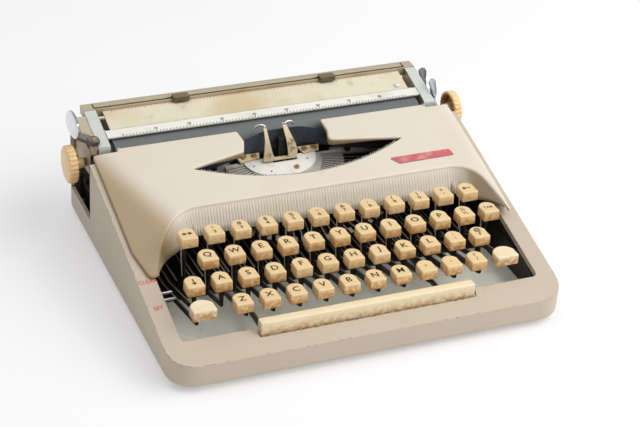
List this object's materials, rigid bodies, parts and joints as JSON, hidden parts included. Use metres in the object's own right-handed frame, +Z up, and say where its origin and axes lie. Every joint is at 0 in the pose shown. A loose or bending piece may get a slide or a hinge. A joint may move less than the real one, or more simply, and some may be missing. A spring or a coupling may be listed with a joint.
{
  "type": "portable typewriter",
  "caption": "Portable typewriter with a sloping cased body, lifting cover, four-bank keyboard on pivoted levers, slotted type basket and a sliding carriage with platen.",
  "frame": {"origin": "on the table, under the middle of the case's footprint", "axes": "+X to the typist's right, +Y from the typist towards the back, +Z up"},
  "size_m": [0.312, 0.257, 0.0963],
  "materials": {
    "case_paint": "stoved beige enamel on pressed steel",
    "cover_paint": "stoved off-white enamel on pressed steel",
    "frame_paint": "black enamel on steel plate",
    "deck_paint": "pale green enamel on sheet steel",
    "table_paint": "pale enamel on sheet steel",
    "carriage_plate": "olive beige enamel on steel plate",
    "bright_steel": "bright worked steel",
    "lever_plate": "dark plated steel",
    "spool_metal": "turned and pressed light alloy",
    "vibrator_plate": "nickel-plated steel strip",
    "chrome_plate": "polished chrome plate",
    "scale_strip": "white enamel on steel strip",
    "key_plastic": "aged moulded cream plastic",
    "platen_rubber": "ground rubber on a steel shaft",
    "foot_rubber": "moulded rubber",
    "ribbon_cloth": "inked woven ribbon"
  },
  "bodies": {
    "base": {"lower_case": "case_paint", "rubber_feet": "foot_rubber", "chassis_frame": "frame_paint", "keyboard_deck": "deck_paint", "key_pivot_shaft": "bright_steel", "ink_ribbon": "ribbon_cloth"},
    "cover": {"top_cover": "cover_paint"},
    "carriage": {"carriage_frame": "carriage_plate", "paper_table": "table_paint"},
    "platen_roller": {"platen": "platen_rubber", "platen_knobs": "key_plastic"},
    "feed_roller": {"feed_roller": "platen_rubber"},
    "return_lever": {"return_lever": "chrome_plate"},
    "paper_bail": {"paper_bail": "scale_strip"},
    "paper_release": {"paper_release_lever": "lever_plate"},
    "carriage_release": {"carriage_release_lever": "lever_plate"},
    "left_margin": {"margin_stop_left": "bright_steel"},
    "right_margin": {"margin_stop_right": "bright_steel"},
    "type_basket": {"type_segment": "bright_steel", "typebars": "bright_steel"},
    "vibrator": {"ribbon_vibrator": "vibrator_plate"},
    "left_spool": {"ribbon_spool_left": "spool_metal"},
    "right_spool": {"ribbon_spool_right": "spool_metal"},
    "tab_setter": {"tab_set_lever": "bright_steel"},
    "space_bar": {"space_bar": "key_plastic"},
    "shift_keys": {"shift_keys": "key_plastic"},
    "shift_lock_key": {"shift_lock_key": "key_plastic"},
    "margin_release_key": {"margin_release_key": "key_plastic"},
    "backspace_key": {"backspace_key": "key_plastic"},
    "tab_key": {"tab_key": "key_plastic"},
    "number_row_keys": {"number_row_keys": "key_plastic"},
    "fraction_key": {"fraction_key": "key_plastic"},
    "home_row_sign_keys": {"home_row_sign_keys": "key_plastic"},
    "bottom_row_sign_keys": {"bottom_row_sign_keys": "key_plastic"},
    "key_q": {"key_q": "key_plastic"},
    "key_w": {"key_w": "key_plastic"},
    "key_e": {"key_e": "key_plastic"},
    "key_r": {"key_r": "key_plastic"},
    "key_t": {"key_t": "key_plastic"},
    "key_y": {"key_y": "key_plastic"},
    "key_u": {"key_u": "key_plastic"},
    "key_i": {"key_i": "key_plastic"},
    "key_o": {"key_o": "key_plastic"},
    "key_p": {"key_p": "key_plastic"},
    "key_a": {"key_a": "key_plastic"},
    "key_s": {"key_s": "key_plastic"},
    "key_d": {"key_d": "key_plastic"},
    "key_f": {"key_f": "key_plastic"},
    "key_g": {"key_g": "key_plastic"},
    "key_h": {"key_h": "key_plastic"},
    "key_j": {"key_j": "key_plastic"},
    "key_k": {"key_k": "key_plastic"},
    "key_l": {"key_l": "key_plastic"},
    "key_z": {"key_z": "key_plastic"},
    "key_x": {"key_x": "key_plastic"},
    "key_c": {"key_c": "key_plastic"},
    "key_v": {"key_v": "key_plastic"},
    "key_b": {"key_b": "key_plastic"},
    "key_n": {"key_n": "key_plastic"},
    "key_m": {"key_m": "key_plastic"}
  },
  "joints": [
    {"name": "cover_hinge", "type": "hinge", "parent": "base", "child": "cover", "pos_m": [0, 0.069, 0.06788], "axis": [-1, 0, 0], "range_deg": [0, 55]},
    {"name": "carriage_slide", "type": "slide", "parent": "base", "child": "carriage", "axis": [1, 0, 0], "range_m": [-0.105, 0.105]},
    {"name": "platen_turn", "type": "hinge", "parent": "carriage", "child": "platen_roller", "pos_m": [0, 0.0825, 0.05879], "axis": [1, 0, 0], "continuous": true},
    {"name": "feed_roller_turn", "type": "hinge", "parent": "carriage", "child": "feed_roller", "pos_m": [0, 0.0825, 0.04049], "axis": [1, 0, 0], "continuous": true},
    {"name": "return_lever_swing", "type": "hinge", "parent": "carriage", "child": "return_lever", "pos_m": [-0.136, 0.0775, 0.073], "axis": [0, 0, 1], "range_deg": [0, 55], "stiffness_Nm_per_rad": 0.05, "springref_deg": -11.46},
    {"name": "paper_bail_lift", "type": "hinge", "parent": "carriage", "child": "paper_bail", "pos_m": [0, 0.0975, 0.07029], "axis": [-1, 0, 0], "range_deg": [0, 55]},
    {"name": "paper_release", "type": "hinge", "parent": "carriage", "child": "paper_release", "pos_m": [0, 0.0995, 0.06679], "axis": [1, 0, 0], "range_deg": [0, 20], "stiffness_Nm_per_rad": 0.05, "springref_deg": -11.46},
    {"name": "carriage_release", "type": "hinge", "parent": "carriage", "child": "carriage_release", "pos_m": [0, 0.0765, 0.06479], "axis": [1, 0, 0], "range_deg": [0, 20], "stiffness_Nm_per_rad": 0.05, "springref_deg": -11.46},
    {"name": "left_margin_slide", "type": "slide", "parent": "carriage", "child": "left_margin", "axis": [1, 0, 0], "range_m": [-0.05, 0.04]},
    {"name": "right_margin_slide", "type": "slide", "parent": "carriage", "child": "right_margin", "axis": [1, 0, 0], "range_m": [-0.04, 0.05]},
    {"name": "basket_shift", "type": "slide", "parent": "base", "child": "type_basket", "axis": [0, 0, -1], "range_m": [0, 0.0056]},
    {"name": "vibrator_lift", "type": "slide", "parent": "base", "child": "vibrator", "axis": [0, 0, 1], "range_m": [0, 0.007]},
    {"name": "left_spool_turn", "type": "hinge", "parent": "base", "child": "left_spool", "pos_m": [-0.1135, 0.0315, 0.039], "axis": [0, 0, 1], "continuous": true},
    {"name": "right_spool_turn", "type": "hinge", "parent": "base", "child": "right_spool", "pos_m": [0.1135, 0.0315, 0.039], "axis": [0, 0, 1], "continuous": true},
    {"name": "tab_setter_slide", "type": "slide", "parent": "base", "child": "tab_setter", "axis": [0, 1, 0], "range_m": [-0.005, 0.005]},
    {"name": "space_bar_press", "type": "hinge", "parent": "base", "child": "space_bar", "pos_m": [0, 0.1075, 0.011], "axis": [1, 0, 0], "range_deg": [0, 2.1], "stiffness_Nm_per_rad": 1.5, "springref_deg": -22.92},
    {"name": "shift_keys_press", "type": "hinge", "parent": "base", "child": "shift_keys", "pos_m": [0, 0.1075, 0.011], "axis": [1, 0, 0], "range_deg": [0, 2.83], "stiffness_Nm_per_rad": 1.5, "springref_deg": -22.92},
    {"name": "shift_lock_key_press", "type": "hinge", "parent": "base", "child": "shift_lock_key", "pos_m": [0, 0.1075, 0.011], "axis": [1, 0, 0], "range_deg": [0, 3.12], "stiffness_Nm_per_rad": 0.6, "springref_deg": -11.46},
    {"name": "margin_release_key_press", "type": "hinge", "parent": "base", "child": "margin_release_key", "pos_m": [0, 0.1075, 0.011], "axis": [1, 0, 0], "range_deg": [0, 3.93], "stiffness_Nm_per_rad": 0.6, "springref_deg": -11.46},
    {"name": "backspace_key_press", "type": "hinge", "parent": "base", "child": "backspace_key", "pos_m": [0, 0.1075, 0.011], "axis": [1, 0, 0], "range_deg": [0, 3.93], "stiffness_Nm_per_rad": 0.6, "springref_deg": -11.46},
    {"name": "tab_key_press", "type": "hinge", "parent": "base", "child": "tab_key", "pos_m": [0, 0.1075, 0.011], "axis": [1, 0, 0], "range_deg": [0, 3.47], "stiffness_Nm_per_rad": 0.6, "springref_deg": -11.46},
    {"name": "number_row_keys_press", "type": "hinge", "parent": "base", "child": "number_row_keys", "pos_m": [0, 0.1075, 0.011], "axis": [1, 0, 0], "range_deg": [0, 3.93], "stiffness_Nm_per_rad": 1.5, "springref_deg": -22.92},
    {"name": "fraction_key_press", "type": "hinge", "parent": "base", "child": "fraction_key", "pos_m": [0, 0.1075, 0.011], "axis": [1, 0, 0], "range_deg": [0, 3.47], "stiffness_Nm_per_rad": 0.6, "springref_deg": -11.46},
    {"name": "home_row_sign_keys_press", "type": "hinge", "parent": "base", "child": "home_row_sign_keys", "pos_m": [0, 0.1075, 0.011], "axis": [1, 0, 0], "range_deg": [0, 3.12], "stiffness_Nm_per_rad": 0.6, "springref_deg": -11.46},
    {"name": "bottom_row_sign_keys_press", "type": "hinge", "parent": "base", "child": "bottom_row_sign_keys", "pos_m": [0, 0.1075, 0.011], "axis": [1, 0, 0], "range_deg": [0, 2.83], "stiffness_Nm_per_rad": 0.6, "springref_deg": -11.46},
    {"name": "key_q_press", "type": "hinge", "parent": "base", "child": "key_q", "pos_m": [0, 0.1075, 0.011], "axis": [1, 0, 0], "range_deg": [0, 3.47], "stiffness_Nm_per_rad": 0.6, "springref_deg": -11.46},
    {"name": "key_w_press", "type": "hinge", "parent": "base", "child": "key_w", "pos_m": [0, 0.1075, 0.011], "axis": [1, 0, 0], "range_deg": [0, 3.47], "stiffness_Nm_per_rad": 0.6, "springref_deg": -11.46},
    {"name": "key_e_press", "type": "hinge", "parent": "base", "child": "key_e", "pos_m": [0, 0.1075, 0.011], "axis": [1, 0, 0], "range_deg": [0, 3.47], "stiffness_Nm_per_rad": 0.6, "springref_deg": -11.46},
    {"name": "key_r_press", "type": "hinge", "parent": "base", "child": "key_r", "pos_m": [0, 0.1075, 0.011], "axis": [1, 0, 0], "range_deg": [0, 3.47], "stiffness_Nm_per_rad": 0.6, "springref_deg": -11.46},
    {"name": "key_t_press", "type": "hinge", "parent": "base", "child": "key_t", "pos_m": [0, 0.1075, 0.011], "axis": [1, 0, 0], "range_deg": [0, 3.47], "stiffness_Nm_per_rad": 0.6, "springref_deg": -11.46},
    {"name": "key_y_press", "type": "hinge", "parent": "base", "child": "key_y", "pos_m": [0, 0.1075, 0.011], "axis": [1, 0, 0], "range_deg": [0, 3.47], "stiffness_Nm_per_rad": 0.6, "springref_deg": -11.46},
    {"name": "key_u_press", "type": "hinge", "parent": "base", "child": "key_u", "pos_m": [0, 0.1075, 0.011], "axis": [1, 0, 0], "range_deg": [0, 3.47], "stiffness_Nm_per_rad": 0.6, "springref_deg": -11.46},
    {"name": "key_i_press", "type": "hinge", "parent": "base", "child": "key_i", "pos_m": [0, 0.1075, 0.011], "axis": [1, 0, 0], "range_deg": [0, 3.47], "stiffness_Nm_per_rad": 0.6, "springref_deg": -11.46},
    {"name": "key_o_press", "type": "hinge", "parent": "base", "child": "key_o", "pos_m": [0, 0.1075, 0.011], "axis": [1, 0, 0], "range_deg": [0, 3.47], "stiffness_Nm_per_rad": 0.6, "springref_deg": -11.46},
    {"name": "key_p_press", "type": "hinge", "parent": "base", "child": "key_p", "pos_m": [0, 0.1075, 0.011], "axis": [1, 0, 0], "range_deg": [0, 3.47], "stiffness_Nm_per_rad": 0.6, "springref_deg": -11.46},
    {"name": "key_a_press", "type": "hinge", "parent": "base", "child": "key_a", "pos_m": [0, 0.1075, 0.011], "axis": [1, 0, 0], "range_deg": [0, 3.12], "stiffness_Nm_per_rad": 0.6, "springref_deg": -11.46},
    {"name": "key_s_press", "type": "hinge", "parent": "base", "child": "key_s", "pos_m": [0, 0.1075, 0.011], "axis": [1, 0, 0], "range_deg": [0, 3.12], "stiffness_Nm_per_rad": 0.6, "springref_deg": -11.46},
    {"name": "key_d_press", "type": "hinge", "parent": "base", "child": "key_d", "pos_m": [0, 0.1075, 0.011], "axis": [1, 0, 0], "range_deg": [0, 3.12], "stiffness_Nm_per_rad": 0.6, "springref_deg": -11.46},
    {"name": "key_f_press", "type": "hinge", "parent": "base", "child": "key_f", "pos_m": [0, 0.1075, 0.011], "axis": [1, 0, 0], "range_deg": [0, 3.12], "stiffness_Nm_per_rad": 0.6, "springref_deg": -11.46},
    {"name": "key_g_press", "type": "hinge", "parent": "base", "child": "key_g", "pos_m": [0, 0.1075, 0.011], "axis": [1, 0, 0], "range_deg": [0, 3.12], "stiffness_Nm_per_rad": 0.6, "springref_deg": -11.46},
    {"name": "key_h_press", "type": "hinge", "parent": "base", "child": "key_h", "pos_m": [0, 0.1075, 0.011], "axis": [1, 0, 0], "range_deg": [0, 3.12], "stiffness_Nm_per_rad": 0.6, "springref_deg": -11.46},
    {"name": "key_j_press", "type": "hinge", "parent": "base", "child": "key_j", "pos_m": [0, 0.1075, 0.011], "axis": [1, 0, 0], "range_deg": [0, 3.12], "stiffness_Nm_per_rad": 0.6, "springref_deg": -11.46},
    {"name": "key_k_press", "type": "hinge", "parent": "base", "child": "key_k", "pos_m": [0, 0.1075, 0.011], "axis": [1, 0, 0], "range_deg": [0, 3.12], "stiffness_Nm_per_rad": 0.6, "springref_deg": -11.46},
    {"name": "key_l_press", "type": "hinge", "parent": "base", "child": "key_l", "pos_m": [0, 0.1075, 0.011], "axis": [1, 0, 0], "range_deg": [0, 3.12], "stiffness_Nm_per_rad": 0.6, "springref_deg": -11.46},
    {"name": "key_z_press", "type": "hinge", "parent": "base", "child": "key_z", "pos_m": [0, 0.1075, 0.011], "axis": [1, 0, 0], "range_deg": [0, 2.83], "stiffness_Nm_per_rad": 0.6, "springref_deg": -11.46},
    {"name": "key_x_press", "type": "hinge", "parent": "base", "child": "key_x", "pos_m": [0, 0.1075, 0.011], "axis": [1, 0, 0], "range_deg": [0, 2.83], "stiffness_Nm_per_rad": 0.6, "springref_deg": -11.46},
    {"name": "key_c_press", "type": "hinge", "parent": "base", "child": "key_c", "pos_m": [0, 0.1075, 0.011], "axis": [1, 0, 0], "range_deg": [0, 2.83], "stiffness_Nm_per_rad": 0.6, "springref_deg": -11.46},
    {"name": "key_v_press", "type": "hinge", "parent": "base", "child": "key_v", "pos_m": [0, 0.1075, 0.011], "axis": [1, 0, 0], "range_deg": [0, 2.83], "stiffness_Nm_per_rad": 0.6, "springref_deg": -11.46},
    {"name": "key_b_press", "type": "hinge", "parent": "base", "child": "key_b", "pos_m": [0, 0.1075, 0.011], "axis": [1, 0, 0], "range_deg": [0, 2.83], "stiffness_Nm_per_rad": 0.6, "springref_deg": -11.46},
    {"name": "key_n_press", "type": "hinge", "parent": "base", "child": "key_n", "pos_m": [0, 0.1075, 0.011], "axis": [1, 0, 0], "range_deg": [0, 2.83], "stiffness_Nm_per_rad": 0.6, "springref_deg": -11.46},
    {"name": "key_m_press", "type": "hinge", "parent": "base", "child": "key_m", "pos_m": [0, 0.1075, 0.011], "axis": [1, 0, 0], "range_deg": [0, 2.83], "stiffness_Nm_per_rad": 0.6, "springref_deg": -11.46}
  ],
  "couplings": [
    {"joint": "feed_roller_turn", "follows": "platen_turn", "ratio": -3},
    {"joint": "basket_shift", "follows": "shift_keys_press", "m_per_rad": 0.1073},
    {"joint": "right_spool_turn", "follows": "left_spool_turn", "ratio": 1}
  ]
}
